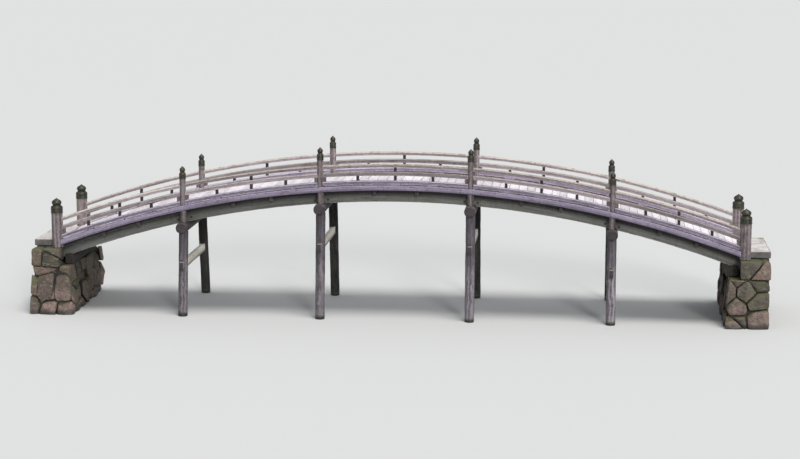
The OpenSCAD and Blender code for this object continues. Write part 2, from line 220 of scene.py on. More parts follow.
def section(width, height, chamfer, top_chamfer=None, lip=0.016):
    """A chamfered rectangle, as rows of a, b and wear. The worn rows are the arrises. The
    rows next to them lie a lip away, and a narrow side has one row in its middle."""
    corners = np.array([(1, 1), (-1, 1), (-1, -1), (1, -1)]) * (width / 2, height / 2)
    cuts = [top_chamfer or chamfer] * 2 + [chamfer] * 2
    rows = []
    for k, here in enumerate(corners):
        run = corners[(k + 1) % 4] - here
        length = norm(run)
        run /= length
        start, stop = cuts[k], length - cuts[(k + 1) % 4]
        near = min(lip, (stop - start) / 2)
        wide = stop - start > 2 * near + NARROW
        inner = np.linspace(start + near, stop - near,
                            max(3, round(length / ROW_STEP)) if wide else 1)
        for d in (start, *inner, stop):
            rows.append((*(here + run * d), float(d in (start, stop))))
    return np.array(rows).T


def spread(start, stop, step, end_cut, lip=0.02):
    """Stations along a timber, closer together at its two ends."""
    inner = [start + end_cut + lip, stop - end_cut - lip]
    count = max(int(round((inner[1] - inner[0]) / step)), 1)
    return np.concatenate([
        [start, start + end_cut], np.linspace(*inner, count + 1), [stop - end_cut, stop]])


def end_marks(shape):
    """The share of end grain: 1 on the first and the last ring, and else 0."""
    marks = np.zeros(shape)
    marks[[0, -1]] = 1
    return marks


def bar(shape, start, stop, place, width, height, chamfer, top_chamfer=None, step=0.1,
        tone=None, wear=0.004, warp=0.0015):
    """A squared timber with worn arrises, from start to stop in the direction t of place.
    Its tone is a number, or a function of the place a, b in its section."""
    a, b, edge = section(width, height, chamfer, top_chamfer)
    t = spread(start, stop, step, chamfer)[:, None]
    seed = uniform(0, 100)
    where = triples(t, a, b)
    dent = wear * np.maximum(bumps(where * (1, 6, 6), 9, seed), -0.2) * edge
    bow = warp * bumps(where * (1, 0, 0), 1.3, seed + 9)
    dent[[0, -1]] = chamfer
    aa = np.sign(a) * np.maximum(np.abs(a) - dent, 0) + bow
    bb = np.sign(b) * np.maximum(np.abs(b) - dent, 0)
    pith = uniform(-0.5, 0.5, 2) * (width, height) * 1.6
    offset = uniform(-40, 40)
    grain = triples(t + offset, aa + pith[0], bb + pith[1])
    worn = np.broadcast_to(edge, aa.shape).copy()
    worn[[0, 1, -2, -1]] = 1
    level = uniform() if tone is None else tone
    tones = level(aa, bb) if callable(level) else level
    shape.loft(place(t, aa, bb), grain, triples(tones, worn, end_marks(worn.shape)))


def log(shape, start, stop, place, radius, checks=3, lumps=0.003, step=0.05, flat=None,
        tone=None, sides=40, check_width=0.007, end_cut=0.01):
    """A round timber with drying checks, which are real grooves. With flat, the log is sawn at
    that distance above and below its axis."""
    t = spread(start, stop, step, end_cut, 0.015)
    seed = uniform(0, 100)
    part = 2 * pi / checks
    first = np.sort(uniform(0, part, checks) + part * np.arange(checks))
    spans = [sorted(uniform(-0.2, 1.2, 2)) for _ in range(checks)]
    per = sides // checks
    angles, depths = [], []
    for ti in t:
        share = (ti - start) / (stop - start)
        row, cut = [], []
        lines = [w + 0.05 * noise.noise((ti * 1.4, seed, k)) for k, w in enumerate(first)]
        for line, after, (low, high) in zip(lines, lines[1:] + [lines[0] + 2 * pi], spans):
            high += 0.25
            strength = np.clip(min(share - low, high - share) / (high - low) * 2.6, 0, 1)
            half = (0.0006 + check_width / 2 * strength) / radius
            row += [line - half, line, *np.linspace(line + half, after - half, per + 2)[:-1]]
            cut += [0.0, 0.0002 + 2.2 * check_width * strength] + [0.0] * (per + 1)
        angles.append(row)
        depths.append(cut)
    angles, depths = np.array(angles), np.array(depths)
    t = t[:, None]
    a, b = np.cos(angles), np.sin(angles)
    spot = triples(t, a * radius, b * radius)
    swell = lumps * (bumps(spot, 3.1, seed) + 0.5 * bumps(spot, 9.0, seed + 5))
    r = radius + swell - lumps * 0.6 - depths
    r[[0, -1]] -= end_cut
    aa, bb = a * r, b * r
    if flat is not None:
        edge = end_cut * 0.7 * end_marks(bb.shape)
        bb = np.clip(bb, edge - flat, flat - edge)
    offset = uniform(-40, 40)
    pith = uniform(-0.12, 0.12, 2) * radius
    grain = triples(t + offset, aa + pith[0], bb + pith[1])
    worn = np.clip(0.3 + 0.5 * bumps(spot, 7, seed + 2) - 40 * depths, 0, 1)
    tone = uniform() if tone is None else tone
    shape.loft(place(t, aa, bb), grain, triples(tone, worn, end_marks(worn.shape)), smooth=True)


def inset(outline, distance):
    """The same outline, moved inwards. It goes round anticlockwise."""
    here = np.array(outline)
    run = np.roll(here, -1, axis=0) - here
    run /= norm(run, axis=1)[:, None]
    after = np.stack([-run[:, 1], run[:, 0]], axis=1)
    before = np.roll(after, 1, axis=0)
    mitre = before + after
    size = np.sum(mitre * before, axis=1)
    return here + mitre * (distance / np.maximum(size, 0.35))[:, None]


def board(shape, outline, place, thickness, tone, chamfer=0.005, foot=0.004, lip=0.012):
    """A flat board of any outline, with its top at height 0 of place(x, y, z)."""
    levels = [(foot, -thickness, 1), (0, foot - thickness, 1), (0, -chamfer, 1),
              (chamfer, 0, 1), (chamfer + lip, 0, 0)]
    local = np.array([np.column_stack([inset(outline, d), np.full(len(outline), z)])
                      for d, z, _ in levels])
    wear = np.array([[w] * len(outline) for _, _, w in levels], float)
    x, y, z = np.moveaxis(local, -1, 0)
    pith = uniform(-0.5, 0.5, 2) * (0.25, 0.2)
    grain = triples(y + uniform(-40, 40), x + pith[0], z + pith[1] - 0.1)
    shape.loft(place(local), grain, triples(tone, wear, np.abs(y) > DECK_HALF - 0.003),
               fans=False)


def turned(shape, base, axis, profile, sides, spin=0.0, tone=0.5, smooth=True, wear=0.0):
    """A profile of (radius, height) pairs turned round an axis that starts at base."""
    frame_of = Vector(axis).normalized().to_track_quat("Z", "X").to_matrix()
    turn = np.arange(sides) * 2 * pi / sides + spin
    rings = np.array([[(r * cos(a), r * sin(a), h) for a in turn] for r, h in profile])
    edge = np.zeros(rings.shape[:2]) + np.reshape(wear, (-1, 1))
    shape.loft(rings @ np.array(frame_of).T + np.array(base), rings + (tone * 7, 0, 0),
               triples(tone, edge, 0.0), smooth=smooth)


def dome(shape, at, normal, radius, height, sides=10, sunk=0.004):
    turned(shape, np.array(at) - np.array(normal) * sunk, normal,
           [(radius, 0), (radius, sunk + height * 0.25), (radius * 0.8, sunk + height * 0.7),
            (radius * 0.35, sunk + height)], sides, tone=uniform())


def bolt(shape, at, normal, size):
    """A square washer, a hexagonal nut and the end of the bolt."""
    at, normal = np.array(at), np.array(normal)
    spin = uniform(0, 1)
    turned(shape, at - normal * 0.003, normal,
           [(size * 1.9, 0), (size * 1.9, 0.007), (size * 1.8, 0.009)], 4, pi / 4,
           uniform(), False)
    washer = at + normal * 0.006
    turned(shape, washer, normal, np.array([(1, 0), (1, 0.75), (0.88, 0.9)]) * size, 6, spin,
           uniform(), False)
    turned(shape, washer, normal, np.array([(0.5, 0), (0.5, 1.25), (0.4, 1.4)]) * size, 10,
           spin)


# Materials. Colours are display colours from 0 to 255. The dark ones of stone are linear.

SOIL, SPECK, PIT = (0.012, 0.011, 0.009, 1), (0.03, 0.026, 0.022, 1), (0.02, 0.017, 0.015, 1)
JOINT_SHADE, UNDER_DECK_SHADE, WET = (0.016, 0.014, 0.011, 1), (0.017, 0.018, 0.013, 1), (0.012, 0.012, 0.011, 1)


def colour(red, green, blue):
    """A display colour as the linear colour that shaders take."""
    turn = lambda c: c / 12.92 if c <= 0.04045 else ((c + 0.055) / 1.055) ** 2.4
    return tuple(turn(c / 255) for c in (red, green, blue)) + (1.0,)


def dimmed(tint, share):
    return (*[c * share for c in tint[:3]], 1)


class Graph:
    """A material's nodes, made by short calls. Each input is a value or another node's output,
    in a row or by name. Base is the colour so far, and lay() puts the next one over it."""

    def __init__(self, name):
        self.material = bpy.data.materials.new(name)
        self.material.use_nodes = True
        self.nodes = self.material.node_tree.nodes
        self.links = self.material.node_tree.links
        self.nodes.clear()
        self.grain, looks = [self.put("Attribute", attribute_name=kind).outputs["Vector"]
                             for kind in ("grain", "looks")]
        self.tone, self.wear, self.end = self.split(looks)
        self.place = self.put("TexCoord").outputs["Object"]
        self.up = self.split(self.place)[2]
        self.across = self.math("ABSOLUTE", self.split(self.place)[1])
        self.facing = self.split(self.put("NewGeometry").outputs["Normal"])[2]

    def put(self, kind, inputs=(), **settings):
        made = self.nodes.new("ShaderNode" + kind)
        for key, value in settings.items():
            setattr(made, key, value)
        for key, value in inputs.items() if isinstance(inputs, dict) else enumerate(inputs):
            if isinstance(value, bpy.types.NodeSocket):
                self.links.new(value, made.inputs[key])
            else:
                made.inputs[key].default_value = value
        return made

    def split(self, vector):
        return self.put("SeparateXYZ", [vector]).outputs

    def math(self, operation, one, two=0.0):
        return self.put("Math", [one, two], operation=operation).outputs[0]

    def add(self, one, two, share):
        """One value and a share of another."""
        return self.math("ADD", one, self.product(two, share))

    def product(self, *values):
        total = values[0]
        for value in values[1:]:
            total = self.math("MULTIPLY", total, value)
        return total

    def scaled(self, vector, scale, shift=(0, 0, 0)):
        return self.put("Mapping", {"Vector": vector, "Scale": scale,
                                    "Location": shift}).outputs[0]

    def noise(self, vector, scale, detail=3.0, rough=0.55, twist=0.0):
        """The scale is a number, or one for each axis."""
        if isinstance(scale, tuple):
            vector, scale = self.scaled(vector, scale), 1
        return self.put("TexNoise", {"Vector": vector, "Scale": scale, "Detail": detail,
                                     "Roughness": rough, "Distortion": twist}).outputs["Fac"]

    def span(self, value, low, high, to_low=0.0, to_high=1.0):
        """The value carried smoothly from one range to another."""
        return self.put("MapRange", [value, low, high, to_low, to_high],
                        interpolation_type="SMOOTHSTEP").outputs[0]

    def mix(self, share, one, two, blend="MIX"):
        return self.put("Mix", {0: share, 6: one, 7: two}, data_type="RGBA",
                        blend_type=blend, clamp_factor=True).outputs[2]

    def lay(self, tint, *shares):
        """Lays a tint over the base, in the product of the shares."""
        self.base = self.mix(self.product(*shares), self.base, tint)

    def finish(self, roughness, height, distance, strength, metallic=0.0):
        bump = self.put("Bump", {"Height": height, "Distance": distance,
                                 "Strength": strength}).outputs[0]
        shader = self.put("BsdfPrincipled", {"Base Color": self.base, "Roughness": roughness,
                                             "Metallic": metallic, "Normal": bump})
        self.links.new(shader.outputs[0], self.put("OutputMaterial").inputs[0])
        return self.material


def wood(name, dark, light, worn, stain, moss=None, moss_share=0.0, contrast=1.0,
         foot=None, shade=(0.8, 1.2), rings=0.35, weather=1.0, crest=None, ends=None,
         deck_shade=None, side_shade=None):
    """Weathered timber. Crest is the colour of what faces up, and moss lies there too: on most
    timbers the crest is partly sun bleaching and partly painted light from above, and on the
    fascia it is darker. With foot, the timber is dark and wet up to about that height above the
    water. Painted shade from the deck darkens it towards the second of two heights, and painted
    shade towards the sides has a colour and a distance from the bridge's middle line where it
    starts."""
    g = Graph(name)
    dark, light, worn, stain, moss, crest, ends = [
        c and colour(*c) for c in (dark, light, worn, stain, moss, crest, ends)]
    streak = g.noise(g.grain, (1.1, 24, 24), 4, 0.6)
    fibre = g.noise(g.grain, (5, 190, 190), 3, 0.6)
    ring = g.put("TexWave", {
        "Vector": g.scaled(g.grain, (0.3, 1, 1)), "Scale": 31.0, "Distortion": 4.0,
        "Detail": 3.0, "Detail Scale": 1.6, "Detail Roughness": 0.6},
        wave_type="RINGS", rings_direction="X").outputs["Fac"]
    mixed = g.add(g.product(streak, 0.62), fibre, 0.38)
    mixed = g.add(g.product(mixed, 1 - rings), ring, rings * 0.6)
    mixed = g.span(mixed, 0.5 - 0.2 / contrast, 0.5 + 0.16 / contrast)
    g.base = g.mix(mixed, dark, light)
    # Faces that point up take the crest colour: sun bleaching and painted light on most timbers.
    if crest:
        g.lay(crest, g.span(g.facing, 0.25, 0.85), g.span(mixed, 0, 1, 0.8, 0.96))
    patches = g.span(g.noise(g.place, 1.7, 4, 0.6, 0.4), 0.48, 0.68)
    g.lay(stain, patches, 0.55 * weather)
    runs = g.span(g.noise(g.place, (13, 13, 0.9), 3, 0.6), 0.54, 0.72)
    sideways = g.product(g.span(g.facing, 0.75, 0.35), g.span(g.facing, -0.75, -0.35))
    g.lay(dark, runs, sideways, 0.5 * weather)
    split = g.put("TexVoronoi", {
        "Vector": g.scaled(g.grain, (1.3, 30, 30)), "Scale": 1.0, "Randomness": 1.0},
        feature="DISTANCE_TO_EDGE").outputs["Distance"]
    parting = g.noise(g.scaled(g.grain, (1.4, 9, 9), (3, 3, 3)), 1, 2)
    crack = g.product(g.span(split, 0.05, 0.0), g.span(parting, 0.5, 0.62))
    g.lay(dimmed(dark, 0.28), crack, 0.8)
    g.lay(worn, g.wear, g.span(g.noise(g.place, 19, 3), 0.3, 0.62), 0.6)
    bright = g.span(g.tone, 0, 1, *shade)
    tint = g.put("CombineColor", [bright] * 3).outputs[0]
    g.base = g.mix(1.0, g.base, tint, "MULTIPLY")
    # Painted shade from the deck, darker towards the second height.
    if deck_shade:
        level = g.add(g.up, g.noise(g.place, (7, 7, 1.2)), 0.5)
        g.lay(dark, g.span(level, *deck_shade), 0.7)
    # Painted shade out towards the sides, from the given distance on.
    if side_shade:
        shade_colour, start = side_shade
        spots = g.add(g.across, g.noise(g.place, 14, 4, 0.65), 0.09)
        g.lay(colour(*shade_colour), g.span(spots, start, start + 0.08), 0.85)
    g.lay(ends or dark, g.end, 0.9 if ends else 0.45)
    if moss:
        spots = g.span(g.noise(g.place, 5.5, 5, 0.68), 0.66 - 0.25 * moss_share,
                       0.74 - 0.16 * moss_share)
        g.lay(moss, spots, g.span(g.facing, 0.1, 0.75), 0.85)
    rough = g.span(mixed, 0, 1, 0.9, 0.72)
    if foot:
        level = g.add(g.up, g.noise(g.place, (9, 9, 4)), foot * 1.1)
        g.lay(light, g.span(level, foot * 5, foot * 2.4), 0.12)
        g.lay(colour(66, 70, 52), g.span(level, foot * 2.3, foot * 1.5), 0.75)
        wet = g.span(level, foot * 1.62, foot * 1.3)
        g.lay(colour(24, 22, 22), wet, 0.92)
        rough = g.add(rough, wet, -0.45)
    height = g.add(g.add(g.product(fibre, 0.5), ring, 0.35), crack, -1.6)
    return g.finish(rough, height, 0.0022, 0.8)


def stone(name, tints, moss, moss_share, speckle=0.25, shade_and_wet_foot=False, depth=0.006,
          blush=None, marks=0.5):
    """Rough rock. The tone of a stone picks its tint, its wear is how deep it lies in a joint,
    where painted shade darkens it, and moss lies on what faces up. Blush is the colour of bare
    stones low in the wall. Marks is how strong pits and lichen are. With a wet foot, the rock is
    also painted with shade under the deck, and wet at the water line."""
    g = Graph(name)
    moss = colour(*moss)
    picked = g.put("ValToRGB", [g.tone])
    ramp = picked.color_ramp
    ramp.interpolation = "CONSTANT"
    ramp.elements.remove(ramp.elements[1])
    for k, tint in enumerate(tints):
        spot = ramp.elements[0] if k == 0 else ramp.elements.new(k / len(tints))
        spot.color = colour(*tint)
    g.base = picked.outputs[0]
    if blush:
        level = g.add(g.up, g.noise(g.place, 2.2), 0.9)
        g.lay(colour(*blush), g.span(level, 1.25, 0.85), g.span(g.end, 0.15, 0.5), 0.75)
    blotch = g.span(g.noise(g.grain, 5, 6, 0.62, 0.6), 0.32, 0.7)
    g.base = g.mix(blotch, g.mix(0.5, g.base, SOIL), g.base)
    vein = g.noise(g.grain, (4, 4, 13), 5, 0.65, 1.2)
    g.lay(colour(168, 158, 148), g.span(vein, 0.52, 0.7), 0.35)
    grit = g.noise(g.grain, 60, 4, 0.7)
    g.lay(colour(196, 188, 176), g.span(grit, 0.5, 0.75), speckle)
    g.lay(SPECK, g.span(g.noise(g.grain, 150, 2, 0.6), 0.44, 0.62), speckle, 0.7)
    pits = g.span(g.noise(g.grain, 26, 3, 0.6), 0.46, 0.36)
    g.lay(PIT, pits, marks)
    lichen = g.span(g.noise(g.grain, 11, 4, 0.65, 0.8), 0.63, 0.68)
    g.lay(colour(150, 150, 128), lichen, marks)
    # Painted shade where a stone lies deep in a joint.
    g.lay(JOINT_SHADE, g.span(g.wear, 0.35, 0.9), 0.7)
    lies = g.add(g.noise(g.place, 3.1, 5, 0.66), g.span(g.facing, -0.1, 0.8), 0.26)
    green = g.span(lies, 0.86 - moss_share, 0.96 - moss_share)
    fuzz = g.noise(g.place, 90, 3, 0.7)
    g.lay(g.mix(g.span(fuzz, 0.35, 0.65), dimmed(moss, 0.45), moss), green, 0.85)
    rough = g.span(grit, 0.2, 0.8, 0.78, 0.96)
    if shade_and_wet_foot:
        # Painted shade on the rock under the deck.
        under = g.add(g.across, g.noise(g.place, 3.5), 0.3)
        g.lay(UNDER_DECK_SHADE, g.span(under, 1.6, 1.4), 0.42)
        level = g.add(g.up, g.noise(g.place, 6), 0.14)
        wet = g.span(level, 0.24, 0.13)
        g.lay(WET, wet, 0.8)
        rough = g.add(rough, wet, -0.4)
    height = g.add(g.add(g.noise(g.grain, 9, 8, 0.64), grit, 0.3), pits, -0.12)
    height = g.add(height, g.product(green, fuzz), 0.25)
    return g.finish(rough, height, depth, 0.9)


def bronze(name):
    """Dark patinated bronze, rubbed lighter where it stands proud, which on the caps' belly and
    tip is partly a painted highlight, and green in its grooves.
    """
    g = Graph(name)
    cloud = g.noise(g.place, 14, 5, 0.6, 0.3)
    g.base = g.mix(g.span(cloud, 0.35, 0.65), colour(38, 35, 32), colour(64, 58, 51))
    g.lay(colour(108, 98, 82), g.span(g.wear, 0.45, 1.0), 0.55)
    green = g.product(g.span(g.noise(g.place, 23, 5, 0.7), 0.46, 0.62),
                      g.span(g.wear, 0.6, 0.1))
    drip = g.span(g.noise(g.place, (60, 60, 5)), 0.52, 0.66)
    green = g.math("MAXIMUM", green, g.product(drip, 0.7))
    g.lay(colour(98, 116, 102), green, 0.65)
    rough = g.add(g.span(cloud, 0.3, 0.7, 0.34, 0.5), green, 0.35)
    return g.finish(rough, g.noise(g.place, 120, 3), 0.0006, 0.6, 0.75)


def iron(name):
    g = Graph(name)
    cloud = g.noise(g.place, 45, 4, 0.65)
    g.base = g.mix(g.span(cloud, 0.35, 0.68), colour(48, 44, 43), colour(112, 76, 56))
    return g.finish(g.span(cloud, 0.3, 0.7, 0.5, 0.85), cloud, 0.001, 0.7, 0.4)


MOSS = (104, 110, 62)
# Painted shade darkens the deck boards under the curbs, and the tie beams outside their piles.
DECK = wood("deck_wood", (92, 85, 86), (148, 140, 141), (206, 202, 204), (158, 149, 151),
            contrast=0.9, shade=(0.84, 1.1), rings=0.25, weather=0.5, crest=(216, 210, 215),
            side_shade=((62, 55, 58), 1.12))
EDGE = wood("edge_wood", (90, 82, 98), (148, 139, 156), (174, 166, 180), (96, 86, 94),
            (120, 118, 96), 0.1, 0.9, shade=(0.86, 1.42), crest=(182, 173, 186))
FASCIA = wood("fascia_wood", (106, 96, 117), (168, 157, 181), (178, 168, 188),
              (116, 105, 118), contrast=0.9, shade=(0.5, 1.06), crest=(98, 90, 104))
RAIL = wood("rail_wood", (100, 90, 96), (168, 157, 162), (186, 176, 170), (96, 84, 80),
            (118, 116, 78), 0.5, crest=(154, 147, 130))
STRUT_WOOD = wood("strut_wood", (26, 21, 27), (56, 47, 55), (84, 75, 80), (34, 28, 30))
POST = wood("post_wood", (76, 65, 67), (140, 129, 132), (168, 160, 160), (90, 76, 76),
            MOSS, 0.2)
GIRDER = wood("girder_wood", (82, 82, 80), (134, 135, 130), (156, 156, 148), (92, 88, 78),
              MOSS, 0.2, shade=(0.24, 1.0))
BENT = wood("bent_wood", (40, 34, 38), (86, 76, 80), (112, 102, 104), (48, 40, 40), MOSS, 0.25)
SILL = wood("sill_wood", (24, 20, 19), (58, 52, 49), (74, 68, 62), (34, 29, 26), MOSS, 0.3)
TIE = wood("tie_wood", (212, 206, 194), (246, 242, 233), (246, 242, 233), (190, 178, 160),
           contrast=0.9, shade=(0.3, 1.05), crest=(244, 240, 230), weather=0.6,
           ends=(44, 37, 40), side_shade=((84, 76, 78), 1.29))
# The piles take painted shade from the deck towards their tops.
PILE_WOOD = {
    "near": wood("pile_wood", (68, 62, 68), (136, 130, 137), (146, 141, 145), (88, 81, 87),
                 contrast=1.1, foot=0.07, deck_shade=(1.35, 1.85)),
    "far": wood("pile_wood_shaded", (22, 22, 22), (56, 56, 52), (68, 68, 62), (28, 28, 25),
                contrast=1.1, foot=0.07, deck_shade=(1.3, 2.3))}
ROCK = stone("rock", [(112, 98, 84), (92, 86, 74), (126, 106, 96), (82, 78, 68),
                      (104, 92, 82), (70, 64, 56), (118, 104, 88), (88, 76, 68)],
             (84, 88, 54), 0.24, shade_and_wet_foot=True, blush=(144, 120, 114))
FILL = stone("rock_fill", [(36, 32, 28)], (52, 56, 36), 0.1)
SLAB = stone("dressed_stone", [(206, 200, 198)], (128, 132, 96), 0.02, 0.4, depth=0.002,
             marks=0.14)
BRONZE = bronze("cap_bronze_metal")
IRON = iron("wrought_iron")

# Deck: boards laid across the girders, nailed down at each of them

BOARD_WIDTH, BOARD_GAP, BOARD_SPREAD, END_BOARD = 0.206, 0.006, 0.14, 1.1
NOTCH_GAP, NOTCH_STEPS = 0.004, 11
TOP_DROP, FOOT_RISE = 0.0004, 0.001
NAIL_RADIUS, NAIL_HEIGHT, NAIL_SHARES = 0.009, 0.003, (0.27, 0.73)


def board_outline(low, high, bay):
    """Outline of a board between low and high along the arc, cut out round the posts."""
    points = []
    for sx, sy in ((1, -1), (1, 1), (-1, 1), (-1, -1)):
        edge = high if sx > 0 else low
        at = bay + (sx > 0)
        post = ARC_STATIONS[at]
        if abs(edge - post) >= 0.01:
            points.append((edge, sy * DECK_HALF))
            continue
        r = post_radius(STATIONS[at]) + NOTCH_GAP
        past_edge = r > DECK_HALF - RAIL_LINE
        last = asin((DECK_HALF - RAIL_LINE) / r) if past_edge else 0.0
        arc = [(post - sx * r * cos(turn), sy * (RAIL_LINE + r * sin(turn)))
               for turn in np.linspace(-pi / 2, last, NOTCH_STEPS)]
        arc[0] = (edge, arc[0][1])
        if not past_edge:
            arc.append((arc[-1][0], sy * DECK_HALF))
        points += arc[::-1] if sx * sy < 0 else arc
    return points


nails = Shape()
for bay in BAYS:
    deck = Shape()
    start = ARC_STATIONS[bay] + BUTT_GAP / 2
    stop = ARC_STATIONS[bay + 1] - BUTT_GAP / 2
    count = int(round((stop - start) / BOARD_WIDTH))
    widths = uniform(1 - BOARD_SPREAD, 1 + BOARD_SPREAD, count)
    widths[[0, -1]] = END_BOARD
    cuts = start + (stop - start) * np.concatenate([[0], np.cumsum(widths)]) / widths.sum()
    for k in range(count):
        low = cuts[k] + (BOARD_GAP / 2 if k else 0)
        high = cuts[k + 1] - (BOARD_GAP / 2 if k < count - 1 else 0)
        middle = (low + high) / 2
        turn = middle / RADIUS
        drop = uniform(0, 0.003)
        tilt = uniform(-0.004, 0.004)
        out = np.array([sin(turn), 0, cos(turn)])
        ahead = np.array([cos(turn), 0, -sin(turn)])
        origin = out * (RADIUS - drop - TOP_DROP) + (0, 0, CENTRE)

        def place(local):
            x = local[..., :1] - middle
            up = local[..., 2:] + tilt * x
            return origin + x * ahead + local[..., 1:2] * (0, 1, 0) + up * out

        board(deck, board_outline(low, high, bay), place, DECK_THICKNESS - drop - FOOT_RISE,
              uniform())
        for y, share in product(GIRDER_LINES.values(), NAIL_SHARES):
            x = low + (high - low) * (share + uniform(-0.03, 0.03)) - middle
            at = origin + x * ahead + (0, y + uniform(-0.02, 0.02), 0)
            dome(nails, at, out, NAIL_RADIUS, NAIL_HEIGHT, 8)
    deck.piece(f"deck_boards_{bay + 1}", DECK, "deck_timber", [f"deck_bay_{bay + 1}"])
nails.piece("deck_nails", IRON)

# Edge boards, curbs, rails and struts. Painted shade darkens each edge board along its foot
# and each girder under the deck's overhang, and painted light makes the curbs palest on
# the side towards the deck.


def ramp(low, high):
    """A tone that rises from 0 at height low of the section to full at height high, which
    paints shade towards height low.
    """
    full = uniform(0.7, 1.0)
    return lambda a, b: full * np.clip((b - low) / (high - low), 0, 1)


FOOT_SHARES = (0, 0.25, 0.5, 0.75, 1)
END_STOP = sqrt((END_RADIUS + FIT_GAP) ** 2 - (DECK_HALF - RAIL_LINE) ** 2)
HOUSING, LET_IN, CLEAT_GAP = 0.75, 0.004, 0.001
STUD_COUNT, STUD_RADIUS, STUD_HEIGHT = 9, 0.011, 0.006
# Painted light: each curb is pale on its side towards the deck and darker outside.
CURB_LIT_INSET, CURB_SHADED_TONE, CLEAT_TONE = 0.05, 0.36, 0.15
# Painted shade along the foot of each edge board.
FASCIA_FOOT_SHADE = (-FASCIA_HEIGHT / 2, 0.062 - FASCIA_HEIGHT / 2)
studs = Shape()
for name, side in SIDES.items():
    fascia, curb, mid, top, struts, cleats = [Shape() for _ in range(6)]
    line = side * RAIL_LINE
    fascia_y = side * (DECK_HALF + FIT_GAP + FASCIA_THICKNESS / 2)
    for bay in BAYS:
        low, high = STATIONS[bay], STATIONS[bay + 1]
        start = low + (END_STOP if bay == 0 else BUTT_GAP / 2)
        stop = high - (END_STOP if bay == 4 else BUTT_GAP / 2)
        bar(fascia, start, stop, on_arc(fascia_y, -FASCIA_HEIGHT / 2), FASCIA_THICKNESS,
            FASCIA_HEIGHT, 0.004, wear=0.003, tone=ramp(*FASCIA_FOOT_SHADE))
        for k in range(STUD_COUNT):
            x = start + (stop - start) * (k + 0.35 + 0.3 * uniform()) / STUD_COUNT
            offset = -FASCIA_HEIGHT / 2 + (0.03 if k % 2 else -0.022)
            at = (x, fascia_y + side * FASCIA_THICKNESS / 2, arc_z(x, offset))
            dome(studs, at, (0, side, 0), STUD_RADIUS, STUD_HEIGHT)
        start = low + HOUSING * post_radius(low)
        stop = high - HOUSING * post_radius(high)
        # Painted light on the curb's side towards the deck.
        bar(curb, start, stop, on_arc(line, (DRAIN_HEIGHT + CURB_HEIGHT) / 2), CURB_WIDTH,
            CURB_HEIGHT - DRAIN_HEIGHT, 0.009, wear=0.006,
            tone=lambda a, b: np.where(side * a < -CURB_LIT_INSET, 1.0, CURB_SHADED_TONE))
        for share in FOOT_SHARES:
            x = along(bay, share)
            ends = [max(x - CURB_FOOT / 2, start), min(x + CURB_FOOT / 2, stop)]
            bar(curb, *ends, on_arc(line, (DRAIN_HEIGHT + 0.006) / 2), CURB_WIDTH - 0.006,
                DRAIN_HEIGHT + 0.0055, 0.003, wear=0.002, warp=0)
        bar(mid, start, stop, on_arc(line, MID_RAIL_LOW + MID_RAIL_DEPTH / 2), MID_RAIL_WIDTH,
            MID_RAIL_DEPTH, 0.009)
        bar(top, start, stop, on_arc(line, TOP_RAIL_LOW + TOP_RAIL_DEPTH / 2), TOP_RAIL_WIDTH,
            TOP_RAIL_DEPTH, 0.005, TOP_RAIL_CHAMFER)

        def strut(shape, x, foot=CURB_HEIGHT, head=MID_RAIL_LOW, step=0.05, tone=None):
            """A short upright between two heights above the deck, let into both timbers."""
            bar(shape, arc_z(x, foot) - LET_IN, arc_z(x, head) + LET_IN, upright(x, line),
                STRUT, STRUT, 0.006, step=step, warp=0, tone=tone)

        clear = STRUT / 2 + CLEAT_GAP
        strut(cleats, low + post_radius(low) + clear, tone=CLEAT_TONE)
        for share in FOOT_SHARES[1:4]:
            x = along(bay, share)
            strut(struts, x)
            if share == 0.5:
                strut(struts, x, MID_RAIL_LOW + MID_RAIL_DEPTH, TOP_RAIL_LOW, 0.04)
        strut(cleats, high - post_radius(high) - clear, tone=CLEAT_TONE)
    fascia.piece(f"fascia_boards_{name}", FASCIA, "edge_timber", [f"fascia_{name}"])
    curb.piece(f"curb_beams_{name}", EDGE, "edge_timber", [f"curb_{name}"])
    mid.piece(f"middle_rails_{name}", RAIL, "rail_timber", [f"mid_rail_{name}"])
    top.piece(f"top_rails_{name}", RAIL, "rail_timber", [f"top_rail_{name}"])
    struts.piece(f"rail_struts_{name}", STRUT_WOOD, "rail_timber", [f"struts_{name}"])
    cleats.piece(f"post_cleats_{name}", POST, "rail_timber")
studs.piece("fascia_nails", IRON)

# Posts and their onion-shaped caps. A cap's heights are shares of its height, and its radii
# shares of its barrel's.

SHOULDER, NECK, COLLAR, BELLY = 0.38, 0.47, 0.52, 0.68
NECK_R, COLLAR_R, BELLY_R, TIP_R = 0.56, 0.72, 0.84, 0.012
STUD_ROWS, STUDS_ROUND = (0.1, 0.245), 8


